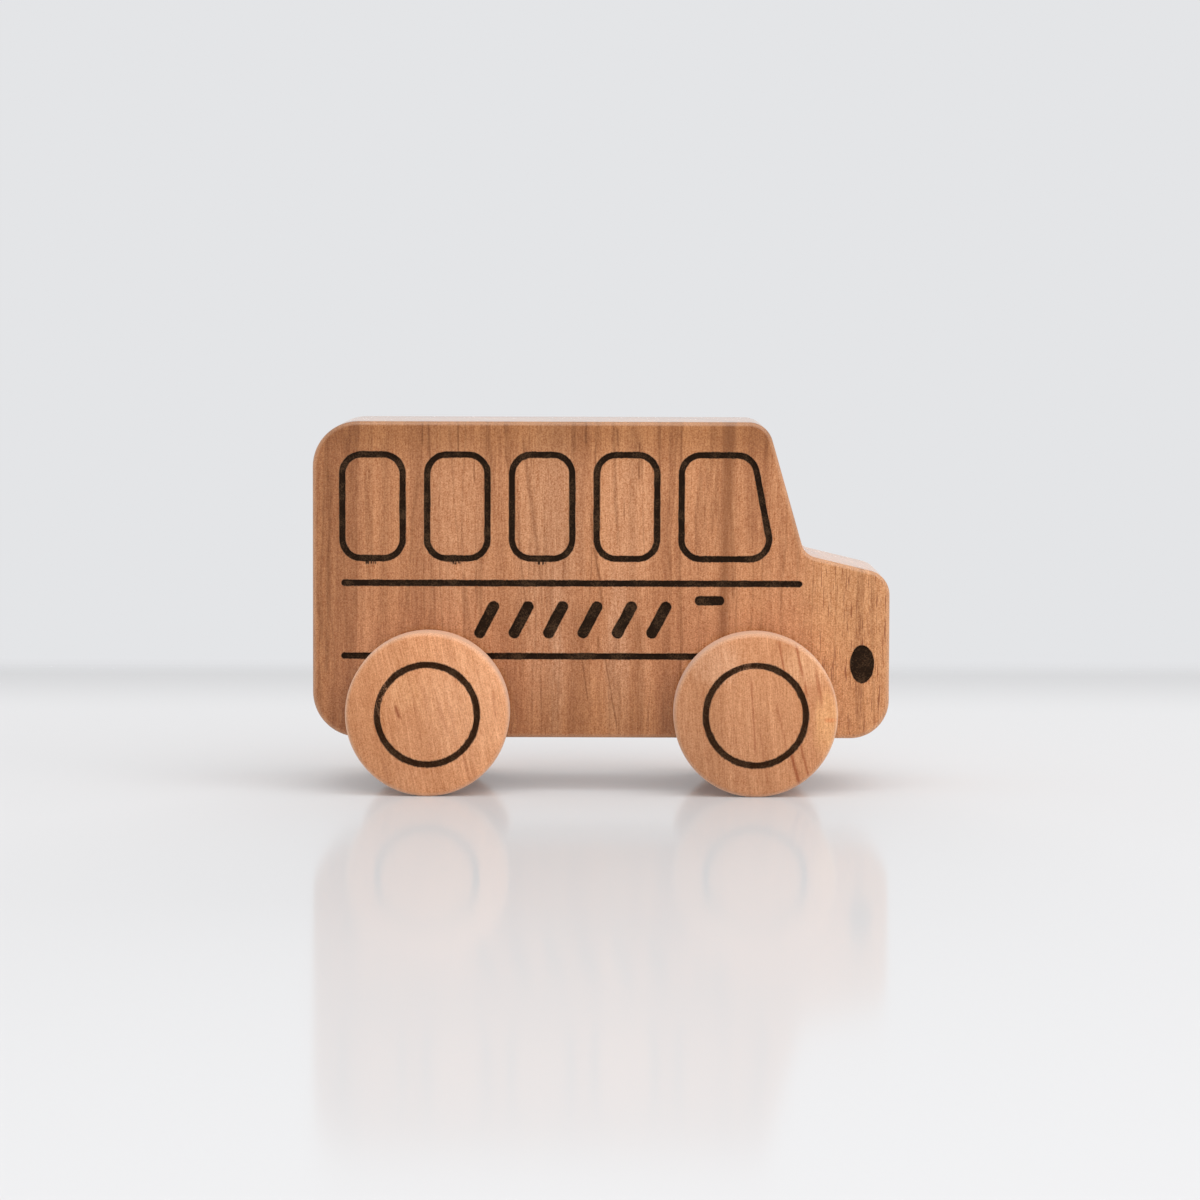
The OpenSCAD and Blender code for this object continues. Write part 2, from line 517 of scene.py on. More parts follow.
@dataclass(frozen=True)
class WoodFinish:
    """Sanded and oiled hardwood with its grain along Z, and marks burnt into it.

    Colours are linear. pale and deep are the tones between which the wood's broad bands and stripes vary,
    both times light, and a painted light gradient then brightens the colour along X and Z by its slope. line
    is the tone of the growth lines and edge the paler tone of the sanded edges, partly from sanding and
    partly a painted highlight, which they show by a given share and are rougher than the faces by edge_matt.
    Growth rings bow away from their place on the face at Y = face by ring_bow times the squared depth under
    it. Sways and frays move bands, streaks and patches by up to half their value. Fine grain changes the
    wood's red, green and blue by the parts of grain_tint, so dark fibres are warmer than pale ones.
    Scuffs are places where the char is rubbed off, and fuzz says how frayed its edges are. The wood turns
    to char between the two degrees of burning of char_step.
    """

    name: str
    pale: Colour
    deep: Colour
    line: Colour
    edge: Colour
    char: Colour = (0.0175, 0.0078, 0.0030)
    ember: Colour = (0.075, 0.040, 0.020)
    light: float = 1.0
    painted_light_slope: Pair = (0.0, 0.0)
    tilt: float = 0.0
    shift: Triple = (0.0, 0.125, 0.0)
    face: float = 0.0
    ring_bow: float = 0.012
    band_size: Triple = (7.0, 40.0, 150.0)
    band_sway: float = 5.0
    stripe_size: Triple = (1.5, 20.0, 40.0)
    line_size: Triple = (4.0, 40.0, 120.0)
    line_depth: float = 0.42
    streak_sway: float = 1.6
    streak_fray: float = 0.7
    patch_fray: float = 4.0
    pores: float = 0.3
    fibre_grain: float = 0.8
    grit: float = 1.3
    grain_tint: Colour = (0.82, 1.25, 1.7)
    edge_wear_and_highlight: float = 0.3
    edge_grain: float = 0.7
    edge_matt: float = 0.0
    roughness: float = 0.15
    dust: float = 0.25
    relief: float = 0.15
    fuzz: float = 0.5
    char_speck: float = 0.5
    char_cloud: float = 0.45
    char_step: Pair = (0.34, 0.66)
    scorch: float = 0.7
    streaks: tuple[Streak, ...] = ()
    patches: tuple[Patch, ...] = ()
    scuffs: tuple[SoftOval, ...] = ()

    def material(self, centre: Vector) -> bpy.types.Material:
        """Builds the node material.

        Args:
            centre: Centre of the piece in the frame.

        Returns:
            The material.
        """
        made = bpy.data.materials.new(self.name)
        made.use_nodes = True
        shader = Shader(made.node_tree)
        place = shader.place(centre)
        grain = shader.turned(place, self.shift, self.tilt)
        fibre, speck = (shader.noise(grain, *fine.value) for fine in (Feature.FIBRE, Feature.SPECK))
        spot = Spot(shader, *shader.split(place), grain, fibre, speck)
        cloud = spot.feature(Feature.CLOUD)
        charring = self.charring(spot, cloud)
        worn_and_highlit = shader.attribute("wear_and_highlight")
        # Sanded edges and a wheel's whole tread take the paler edge tone: partly sanding, partly a painted
        # highlight
        edge = shader.vector("SCALE", self.edge, 1.0 + self.edge_grain * (fibre + speck - 1.0))
        wood = shader.mix(self.edge_wear_and_highlight * worn_and_highlit, self.wood(spot), edge)
        wood = shader.mix(self.scorch * charring.step(0.12, 0.7), wood, self.ember)
        relief = {"Strength": 0.1, "Distance": self.relief * MM, "Height": 0.6 * fibre + 0.4 * speck}
        bump = shader.node("ShaderNodeBump", {}, relief)
        sanded = shader.node(
            "ShaderNodeBsdfPrincipled",
            {},
            {
                "Base Color": wood,
                "Roughness": self.roughness + 0.1 * (fibre - 0.5) + self.edge_matt * worn_and_highlit,
                "Normal": bump.outputs[0],
                "IOR": 1.45,
                "Sheen Weight": self.dust,
                "Sheen Roughness": 0.4,
                "Sheen Tint": (1.0, 0.96, 0.92, 1.0),
            },
        )
        coal = shader.mix((0.5 * speck + 0.5 * cloud).step(0.47, 0.66), self.char, self.ember)
        charred = shader.node(
            "ShaderNodeBsdfPrincipled",
            {},
            {"Base Color": coal, "Roughness": 0.85, "Normal": bump.outputs[0], "Specular IOR Level": 0.12},
        )
        surface = shader.blend(charring.step(*self.char_step), sanded, charred)
        shader.node("ShaderNodeOutputMaterial", {}, {"Surface": surface.outputs[0]})
        return made

    def burn(self, spot: Spot) -> Value:
        """How charred the wood is, as the mesh carries it."""
        return spot.shader.attribute("burn")

    def charring(self, spot: Spot, cloud: Value) -> Value:
        """How charred the wood is, with ragged borders and rubbed places.

        Args:
            spot: The place on the piece.
            cloud: The wood's cloudy feature there.

        Returns:
            The charring, from about 0 to about 1.
        """
        burnt = self.burn(spot)
        frayed = spot.feature(Feature.FRAY)
        ragged = burnt + self.char_speck * (spot.speck - 0.5) + self.char_cloud * (cloud - 0.5)
        ragged = ragged + self.fuzz * (frayed - 0.5) * burnt.step(0.0, 0.3)
        rubbed = (0.4 * spot.speck + 0.6 * frayed).step(0.42, 0.6)
        for scuff in self.scuffs:
            ragged = ragged - scuff.mask(spot.x, spot.z) * rubbed
        return ragged

    def rings(self, y: Value) -> Value:
        """How far the growth rings have bowed along X at a depth."""
        return self.ring_bow * (y - self.face) * (y - self.face)

    def wood(self, spot: Spot) -> Socket:
        """Colour of the unburnt wood.

        Args:
            spot: The place on the piece.

        Returns:
            The colour.
        """
        shader, x, z = spot.shader, spot.x, spot.z
        across, through, along = shader.split(spot.grain)
        sway = spot.feature(Feature.SWAY) - 0.5
        bowed = self.rings(spot.y)
        growth = shader.combine(across + bowed + self.band_sway * sway, through, along)
        bands = shader.noise(growth, self.band_size, 2.0)
        stripe = shader.noise(growth, self.stripe_size, 2.0)
        colour = shader.mix((0.6 * bands + 0.4 * stripe).step(0.34, 0.66), self.deep, self.pale)
        colour = shader.vector("SCALE", colour, self.light)
        gap = spot.feature(Feature.GAP)
        frayed = x + self.patch_fray * (gap - 0.5)
        for patch in self.patches:
            colour = shader.mix(patch.mask(frayed, z), colour, patch.tone)
        ridge = abs(shader.noise(growth, self.line_size, 1.0) - 0.5)
        lines = self.line_depth * ridge.step(0.045, 0.0) * gap.step(0.25, 0.62)
        shaken = x + bowed + self.streak_sway * sway + self.streak_fray * (gap - 0.5)
        whole = gap.step(0.1, 0.5)
        for streak in self.streaks:
            lines = lines.most(streak.mask(shaken, z) * whole)
        colour = shader.mix(lines, colour, self.line)
        pore = spot.feature(Feature.PORE).step(0.68, 0.8)
        colour = shader.mix(self.pores * pore, colour, self.line)
        # Painted light: the colour brightens steadily along X and Z, as if lit more from that side
        slope_x, slope_z = self.painted_light_slope
        colour = shader.vector("SCALE", colour, 1.0 + slope_x * x + slope_z * z)
        shade = self.fibre_grain * (spot.fibre - 0.5) + self.grit * (spot.speck - 0.5)
        tint = shader.vector("ADD", shader.vector("SCALE", self.grain_tint, shade), (1.0, 1.0, 1.0))
        return shader.vector("MULTIPLY", colour, shader.vector("MAXIMUM", tint, (0.1, 0.1, 0.1)))


@dataclass(frozen=True)
class WheelWood(WoodFinish):
    """A wheel's wood, lighter and finer than the block's, with a matt tread painted pale as a highlight."""

    pale: Colour = (0.77, 0.345, 0.156)
    deep: Colour = (0.635, 0.267, 0.110)
    line: Colour = (0.37, 0.100, 0.028)
    # Paler tone of the rims and tread: partly sanding, partly a painted highlight
    edge: Colour = (0.89, 0.60, 0.42)
    char: Colour = (0.030, 0.0105, 0.0025)
    # Painted light: the wheel is brighter towards the nose and the top
    painted_light_slope: Pair = (0.0085, 0.0075)
    face: float = -5.0
    ring_bow: float = 0.03
    band_size: Triple = (4.5, 40.0, 150.0)
    line_size: Triple = (2.6, 40.0, 120.0)
    line_depth: float = 0.16
    pores: float = 0.12
    grit: float = 0.9
    edge_wear_and_highlight: float = 0.6
    edge_matt: float = 0.55
    fuzz: float = 0.7
    char_step: Pair = (0.28, 0.82)


@dataclass(frozen=True)
class BodyWood(WoodFinish):
    """The block's wood: a dark heart streak, pores at the nose, soot under windows, and painted shade that
    darkens the roof, the rear end and the lower skirt.

    A pair of places is where a feature starts to show and where it is whole.
    """

    heart_at: float = 26.6
    heart_width: float = 3.2
    heart_lean: float = 0.03
    heart_depth: float = 0.36
    heart_heights: Pair = (-30.0, -4.0)
    nose_pores: Pair = (40.0, 50.0)
    nose_pore_depth: float = 0.8
    nose_pore_tone: Colour = (0.24, 0.058, 0.013)
    # Painted shade: tint and places of the darkening at the roof, the rear end and the lower skirt
    painted_shade_tint: Colour = (0.75, 0.69, 0.54)
    shaded_roof: Pair = (22.0, 32.0)
    shaded_tail: Pair = (-50.0, -62.0)
    tail_shade: float = 0.7
    shaded_skirt: Pair = (-14.0, -33.0)
    skirt_front: Pair = (46.0, 30.0)
    skirt_shade: float = 0.8
    soot_first: float = -49.5
    soot_pitch: float = 18.2
    soot_reach: Pair = (1.9, 0.6)
    soot_front: Pair = (0.0, -4.0)
    soot_foot: Pair = (2.85, 3.65)
    soot_head: Pair = (5.5, 5.0)
    soot_depth: float = 0.68

    def burn(self, spot: Spot) -> Value:
        """How charred the wood is, with ticks of soot under the sills of the equal windows.

        Args:
            spot: The place on the block.

        Returns:
            The charring, from 0 to 1.
        """
        half = self.soot_pitch / 2
        offset = abs((spot.x - self.soot_first + half).wrap(self.soot_pitch) - half)
        near = offset.step(*self.soot_reach) * spot.x.step(*self.soot_front)
        ticks = spot.feature(Feature.SOOT).step(0.38, 0.54)
        soot = near * ticks * spot.z.step(*self.soot_foot) * spot.z.step(*self.soot_head)
        return spot.shader.attribute("burn").most(self.soot_depth * soot)

    def wood(self, spot: Spot) -> Socket:
        """Colour of the unburnt wood, with the block's own features.

        Args:
            spot: The place on the block.

        Returns:
            The colour.
        """
        shader, x, z = spot.shader, spot.x, spot.z
        colour = super().wood(spot)
        sway = spot.feature(Feature.HEART) - 0.5
        away = abs(x + self.rings(spot.y) + sway - self.heart_lean * z - self.heart_at)
        heart = away.step(self.heart_width, 0.0) * z.step(*self.heart_heights)
        colour = shader.mix(self.heart_depth * heart, colour, self.line)
        dashes = spot.feature(Feature.DASH).step(0.59, 0.69) * x.step(*self.nose_pores)
        colour = shader.mix(self.nose_pore_depth * dashes, colour, self.nose_pore_tone)
        # Painted shade: darker towards the roof, the rear end and the lower skirt
        skirt = self.skirt_shade * z.step(*self.shaded_skirt) * x.step(*self.skirt_front)
        painted_shade = (self.tail_shade * x.step(*self.shaded_tail)).most(z.step(*self.shaded_roof)).most(skirt)
        return shader.mix(painted_shade, colour, shader.vector("MULTIPLY", colour, self.painted_shade_tint))


@dataclass(frozen=True)
class Outline:
    """A closed outline on a side face, as its corners, anticlockwise in rows of two, and their radii."""

    corners: np.ndarray
    radii: np.ndarray

    def grown(self, grow: float | np.ndarray) -> np.ndarray:
        """Points of the outline, moved outwards.

        Each corner becomes an arc that touches both of its sides: the arc's middle lies on the bisector at
        radius / cos(turn / 2), and its points start at the first side's normal and run through the turn.

        Args:
            grow: Distance to move the outline outwards, or an array of them.

        Returns:
            Points as rows of two, with grow's own axes in front.
        """
        before = self.corners - np.roll(self.corners, 1, axis=0)
        before /= np.linalg.norm(before, axis=1, keepdims=True)
        after = np.roll(before, -1, axis=0)
        cross = before[:, 0] * after[:, 1] - before[:, 1] * after[:, 0]
        turn = np.arctan2(cross, (before * after).sum(axis=1))
        bisector = after - before
        bisector /= np.linalg.norm(bisector, axis=1, keepdims=True)
        middle = self.corners + bisector * (self.radii / np.cos(turn / 2))[:, None]
        start = np.arctan2(-before[:, 0], before[:, 1])
        angle = start[:, None] + turn[:, None] * np.linspace(0, 1, ARC_STEPS + 1)
        reach = np.sign(turn) * self.radii + np.asarray(grow)[..., None]
        spokes = np.stack([np.cos(angle), np.sin(angle)], axis=-1)
        points = middle[:, None] + reach[..., None, None] * spokes
        return points.reshape(*reach.shape[:-1], -1, 2)


@dataclass(frozen=True)
class Oval:
    """An upright ellipse on a side face, as its middle, its half axes and its number of points."""

    centre: np.ndarray
    half: np.ndarray
    steps: int

    def grown(self, grow: float) -> np.ndarray:
        """Points centre + (half + grow) * (cos a, sin a) for a through a full turn, anticlockwise."""
        angle = np.linspace(0, 2 * np.pi, self.steps, endpoint=False)
        return self.centre + (self.half + grow) * np.stack([np.cos(angle), np.sin(angle)], axis=-1)


@dataclass(frozen=True)
class Mark:
    """A shape burnt into a side face."""

    shape: Outline | Oval
    kind: MarkKind
    width: float = 0.0

    def loops(self) -> list[tuple[LoopRole, np.ndarray]]:
        """Lips of the burnt groove, the ends of its scorched halo and its all charred core.

        Returns:
            Loops with what they do, anticlockwise.
        """
        half = self.width / 2
        grows = [(LoopRole.HALO, half + HALO), (LoopRole.LIP, half)]
        if self.kind is MarkKind.PATCH:
            grows.append((LoopRole.CORE, -CORE_INSET))
        else:
            grows += [(LoopRole.CORE, 0.0), (LoopRole.LIP, -half), (LoopRole.HALO, -half - HALO)]
        return [(role, self.shape.grown(grow)) for role, grow in grows]


@dataclass
class FramePiece:
    """A piece that takes the place of one of the frame's nodes, with that node's own box."""

    node: str
    low: Vector = field(init=False)
    high: Vector = field(init=False)

    def __post_init__(self) -> None:
        """Takes the box from the frame."""
        self.low, self.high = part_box(self.node)

    @property
    def centre(self) -> Vector:
        """Middle of the box."""
        return (self.low + self.high) / 2


@dataclass
class BusBody(FramePiece):
    """The sawn block with its sanded edges, axle bores and burnt marks."""

    node: str = "body"
    rear_corner: float = 9.8 * MM
    roof_corner: float = 5.4 * MM
    cowl_corner: float = 4.0 * MM
    nose_corner: float = 5.4 * MM
    chin_corner: float = 8.3 * MM
    bonnet_length: float = 18.3 * MM
    nose_height: float = 35.2 * MM
    bonnet_fall: float = math.radians(13.4)
    windshield_lean: float = math.radians(16.0)
    edge_radius: float = 1.0 * MM
    bore_radius: float = 3.3 * MM
    burn_depth: float = 0.3 * MM
    line_width: float = 1.25 * MM
    window_count: int = 4
    window_width: float = 12.95 * MM
    window_height: float = 22.3 * MM
    window_corner: float = 4.2 * MM
    window_pitch: float = 18.2 * MM
    window_setback: float = 6.4 * MM
    window_drop: float = 7.1 * MM
    pillar_foot: float = 7.1 * MM
    pillar_head: float = 5.0 * MM
    belt_drop: float = 5.3 * MM
    belt_spacing: float = 15.7 * MM
    belt_setback: float = 6.2 * MM
    belt_stop: float = 0.6 * MM
    handle_size: Pair = (6.2 * MM, 1.9 * MM)
    handle_setback: float = 6.1 * MM
    handle_drop: float = 3.65 * MM
    headlight_size: Pair = (5.05 * MM, 8.1 * MM)
    headlight_setback: float = 5.9 * MM
    headlight_rise: float = 16.1 * MM
    bar_count: int = 6
    bar_size: Pair = (8.6 * MM, 2.3 * MM)
    bar_lean: float = math.radians(28.0)
    bar_pitch: float = 7.4 * MM
    bar_row_setback: float = 55.9 * MM

    @property
    def cowl(self) -> Pair:
        """Place of the foot of the windshield along X and Z."""
        z = self.low.z + self.nose_height + self.bonnet_length * math.tan(self.bonnet_fall)
        return self.high.x - self.bonnet_length, z

    def windshield_x(self, z: float) -> float:
        """Place of the windshield along X at a height."""
        cowl_x, cowl_z = self.cowl
        return cowl_x - (z - cowl_z) * math.tan(self.windshield_lean)

    def outline(self) -> Outline:
        """The block's own outline.

        Returns:
            The outline, anticlockwise from the rear end's foot.
        """
        rear, nose, foot, roof = self.low.x, self.high.x, self.low.z, self.high.z
        corners = [
            (rear, foot, self.rear_corner),
            (nose, foot, self.chin_corner),
            (nose, foot + self.nose_height, self.nose_corner),
            (*self.cowl, self.cowl_corner),
            (self.windshield_x(roof), roof, self.roof_corner),
            (rear, roof, self.rear_corner),
        ]
        table = np.array(corners)
        return Outline(table[:, :2], table[:, 2])

    def window(self, rear: float, sill_front: float, head_front: float) -> Mark:
        """A window's line.

        Args:
            rear: Place of its upright rear line.
            sill_front: Front end of its sill.
            head_front: Front end of its head.

        Returns:
            The mark.
        """
        head = self.high.z - self.window_drop
        sill = head - self.window_height
        corners = np.array([(rear, sill), (sill_front, sill), (head_front, head), (rear, head)])
        return Mark(Outline(corners, np.full(4, self.window_corner)), MarkKind.LINE, self.line_width)

    def stroke(self, centre: np.ndarray, size: Pair, turn: float) -> Mark:
        """A burnt bar with round ends.

        Args:
            centre: Its middle.
            size: Its length and width.
            turn: Its direction, anticlockwise from X.

        Returns:
            The mark.
        """
        along = np.array([math.cos(turn), math.sin(turn)]) * size[0] / 2
        aside = np.array([-math.sin(turn), math.cos(turn)]) * size[1] / 2
        corners = centre + np.array([-along - aside, along - aside, along + aside, aside - along])
        return Mark(Outline(corners, np.full(4, BAR_END * size[1])), MarkKind.PATCH)

    def marks(self) -> list[Mark]:
        """All marks of one side face.

        Returns:
            Windows, belt lines, handle, bars and headlight.
        """
        rear, head = self.low.x, self.high.z - self.window_drop
        sill = head - self.window_height
        first = rear + self.window_setback + np.arange(self.window_count) * self.window_pitch
        marks = [self.window(x, x + self.window_width, x + self.window_width) for x in first]
        cab = rear + self.window_setback + self.window_count * self.window_pitch
        front = (self.windshield_x(sill) - self.pillar_foot, self.windshield_x(head) - self.pillar_head)
        marks.append(self.window(cab, *front))
        upper, lower = sill - self.belt_drop, sill - self.belt_drop - self.belt_spacing
        ends = np.array([rear + self.belt_setback, self.cowl[0] - self.belt_stop])
        for height in (upper, lower):
            centre = np.array([ends.mean(), height])
            marks.append(self.stroke(centre, (ends[1] - ends[0], self.line_width), 0.0))
        handle = np.array([cab + self.handle_setback, upper - self.handle_drop])
        marks.append(self.stroke(handle, self.handle_size, 0.0))
        shift = (np.arange(self.bar_count) - (self.bar_count - 1) / 2) * self.bar_pitch
        for x in rear + self.bar_row_setback + shift:
            centre = np.array([x, (upper + lower) / 2])
            marks.append(self.stroke(centre, self.bar_size, math.pi / 2 - self.bar_lean))
        lamp = np.array([self.high.x - self.headlight_setback, self.low.z + self.headlight_rise])
        marks.append(Mark(Oval(lamp, np.array(self.headlight_size) / 2, OVAL_STEPS), MarkKind.PATCH))
        return marks

    def bore_loops(self) -> list[np.ndarray]:
        """Rims of the axle bores on a side face."""
        places = [np.array(joint["pos_m"])[[0, 2]] for joint in frame["joints"]]
        return [Oval(place, np.full(2, self.bore_radius), BORE_STEPS).grown(0.0) for place in places]

    def rim(self) -> Surface:
        """Ends, roof, bonnet and underside: the outline carried through the thickness.

        Along each sanded edge the outline lies radius * (1 - sin a) inside the block's own outline and
        radius * (1 - cos a) under the side face, for a through a quarter turn.

        Returns:
            The surface between the two side faces.
        """
        sine, cosine, wear_and_highlight = quarter_arc()
        inset = self.edge_radius * (1 - sine)
        depth = self.edge_radius * (1 - cosine)
        inset = np.concatenate([inset, inset[::-1]])
        wear_and_highlight = np.concatenate([wear_and_highlight, wear_and_highlight[::-1]])
        y = np.concatenate([self.low.y + depth, (self.high.y - depth)[::-1]])
        loops = self.outline().grown(-inset)
        level = np.broadcast_to(y[:, None], loops.shape[:2])
        grid = np.stack([loops[..., 0], level, loops[..., 1]], axis=-1)
        return Surface.swept(grid, np.zeros_like(wear_and_highlight), wear_and_highlight)

    def side(self, hand: Hand) -> Surface:
        """A side face with its burnt grooves and open bores.

        The loops of all marks are the fixed edges of one triangulation. Triangles inside an odd number of
        lips are the grooves' floors and lie deeper, and each lip is joined to its floor by a wall.

        Args:
            hand: Which side.

        Returns:
            The surface.
        """
        outline = self.outline()
        loops = [(LoopRole.BORDER, outline.grown(-self.edge_radius))]
        loops.append((LoopRole.BORDER, outline.grown(-self.edge_radius - GUIDE_BAND)))
        loops += [loop for mark in self.marks() for loop in mark.loops()]
        loops += [(LoopRole.BORE, loop) for loop in self.bore_loops()]
        flat = np.concatenate([points for _, points in loops])
        sizes = [len(points) for _, points in loops]
        rings = [start + np.arange(size) for start, size in zip(np.cumsum([0] + sizes[:-1]), sizes)]
        edges = np.concatenate([np.stack([ring, np.roll(ring, -1)], axis=1) for ring in rings])
        inside_only = 1
        corners = [Vector(point) for point in (flat / MM).tolist()]
        _, _, triangles, sources, _, _ = geometry.delaunay_2d_cdt(
            corners, edges.tolist(), [], inside_only, MERGE_GAP / MM
        )
        triangles = np.array([source[0] for source in sources])[np.array(triangles)]
        middles = flat[triangles].mean(axis=1)
        by_role = {role: [ring for ring, (r, _) in zip(rings, loops) if r is role] for role in LoopRole}
        lips = by_role[LoopRole.LIP]
        groove = inside_loops(middles, [flat[ring] for ring in lips])
        bore = inside_loops(middles, [flat[ring] for ring in by_role[LoopRole.BORE]])
        lip, core = np.concatenate(lips), np.concatenate(by_role[LoopRole.CORE])
        floor_of = np.full(len(flat), -1)
        floor_of[lip] = len(flat) + np.arange(len(lip))
        floor_of[core] = core
        walls = [np.stack([r, np.roll(r, -1), floor_of[np.roll(r, -1)], floor_of[r]], axis=1) for r in lips]
        face_y = self.high.y if hand is Hand.LEFT else self.low.y
        place = np.concatenate([flat, flat[lip]])
        level = np.full(len(place), face_y)
        level[core] = level[len(flat):] = face_y - hand.value * self.burn_depth
        points = np.stack([place[:, 0], level, place[:, 1]], axis=-1)
        burn = np.zeros(len(points))
        burn[lip] = LIP_BURN
        burn[len(flat):] = FOOT_BURN
        burn[core] = 1.0
        faces = [triangles[~groove & ~bore], floor_of[triangles[groove]], *walls]
        return Surface(points, faces, burn, np.zeros(len(points)))

    def bores(self) -> list[Surface]:
        """Walls of the axle bores, each a circle carried from one side face to the other."""
        sides = (self.low.y, self.high.y)
        return [
            Surface.swept(np.stack([np.insert(loop, 1, y, axis=1) for y in sides]), np.zeros(2), np.zeros(2))
            for loop in self.bore_loops()
        ]

    def build(self, finish: WoodFinish) -> bpy.types.Object:
        """Makes the block and dresses it.

        Args:
            finish: Its wood.

        Returns:
            The block's object.
        """
        sides = [self.side(hand) for hand in Hand]
        made = Surface.joined([self.rim(), *sides, *self.bores()]).piece("body_block")
        made.data.materials.append(finish.material(self.centre))
        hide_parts(self.node)
        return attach(made, "bus_body")


@dataclass
class Wheel(FramePiece):
    """A turned disc with sanded rims, a burnt ring on its outer face and a blind socket for the axle."""

    hand: Hand
    edge_radius: float = 1.0 * MM
    ring_radius: float = 10.65 * MM
    line_width: float = 1.25 * MM
    burn_depth: float = 0.3 * MM
    halo: float = 0.4 * MM
    socket_radius: float = 3.05 * MM
    socket_depth: float = 7.0 * MM

    def profile(self) -> np.ndarray:
        """Half section from the socket's floor over the tread to the middle of the outer face.

        The rims are quarter turns. Their paleness, partly from sanding and partly a painted highlight, rises
        with their sine on the inner one, is whole on the tread, which is painted pale all round as a
        highlight, and falls with their squared cosine on the outer one.

        Returns:
            Rows of distance from the inner face, radius, burn and wear.
        """
        radius, thickness = (self.high.x - self.low.x) / 2, self.high.y - self.low.y
        edge, flat = self.edge_radius, radius - self.edge_radius
        sine, cosine, _ = quarter_arc()
        none = np.zeros_like(sine)
        inner_rim = np.stack([edge - edge * cosine, flat + edge * sine, none, sine], axis=1)
        outer_along = thickness - edge + edge * sine
        outer_rim = np.stack([outer_along, flat + edge * cosine, none, cosine * cosine], axis=1)
        deep = self.socket_depth
        socket = [(deep, 0.0), (deep, self.socket_radius), (0.0, self.socket_radius)]
        floor, half = thickness - self.burn_depth, self.line_width / 2
        bank = [(thickness, half + self.halo, 0.0), (thickness, half, LIP_BURN), (floor, half, FOOT_BURN)]
        ring = [*bank, (floor, 0.0, 1.0), *((along, -aside, burn) for along, aside, burn in reversed(bank))]
        rows = [
            [(along, r, 0.0, 0.0) for along, r in socket],
            [(0.0, flat - GUIDE_BAND, 0.0, 0.0)],
            inner_rim,
            outer_rim,
            [(thickness, flat - GUIDE_BAND, 0.0, 0.0)],
            [(along, self.ring_radius + aside, burn, 0.0) for along, aside, burn in ring],
            [(thickness, 0.0, 0.0, 0.0)],
        ]
        return np.concatenate([np.array(block) for block in rows])

    def build(self, finish: WoodFinish, body: str) -> bpy.types.Object:
        """Makes the wheel and dresses it.

        Args:
            finish: Its wood.
            body: The body that it rides on.

        Returns:
            The wheel's object.
        """
        inner_y = self.high.y if self.hand is Hand.RIGHT else self.low.y
        surface = Surface.turned(self.profile(), self.centre, inner_y, self.hand.value)
        made = surface.piece(self.node.replace("wheel", "disc"))
        made.data.materials.append(finish.material(self.centre))
        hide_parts(self.node)
        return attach(made, body)


@dataclass
class Axle(FramePiece):
    """A plain dowel with chamfered ends."""

    chamfer: float = 0.6 * MM

    def build(self, finish: WoodFinish, body: str) -> bpy.types.Object:
        """Makes the dowel and dresses it.

        Args:
            finish: Its wood.
            body: The body that it rides on.

        Returns:
            The dowel's object.
        """
        radius, length = (self.high.x - self.low.x) / 2, self.high.y - self.low.y
        half = [(0.0, 0.0), (0.0, radius - self.chamfer), (self.chamfer, radius)]
        rows = half + [(length - along, r) for along, r in reversed(half)]
        profile = np.array([(along, r, 0.0, 0.0) for along, r in rows])
        made = Surface.turned(profile, self.centre, self.low.y, 1).piece(self.node + "_dowel")
        made.data.materials.append(finish.material(self.centre))
        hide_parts(self.node)
        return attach(made, body)


@dataclass(frozen=True)
class SoftBox:
    """A wide lamp that faces the bus, with its power in watts, which reflections may show or not."""

    name: str
    place: Triple
    size: Pair
    power: float
    mirrored: bool
    aim: Triple = (0.0, 0.0, 0.04)

    def build(self) -> None:
        """Sets up the lamp."""
        data = bpy.data.lights.new(self.name, "AREA")
        data.shape = "RECTANGLE"
        data.size, data.size_y = self.size
        data.energy = self.power
        made = placed(self.name, data)
        made.location = self.place
        made.rotation_euler = (Vector(self.aim) - Vector(self.place)).to_track_quat("-Z", "Y").to_euler()
        made.visible_glossy = self.mirrored


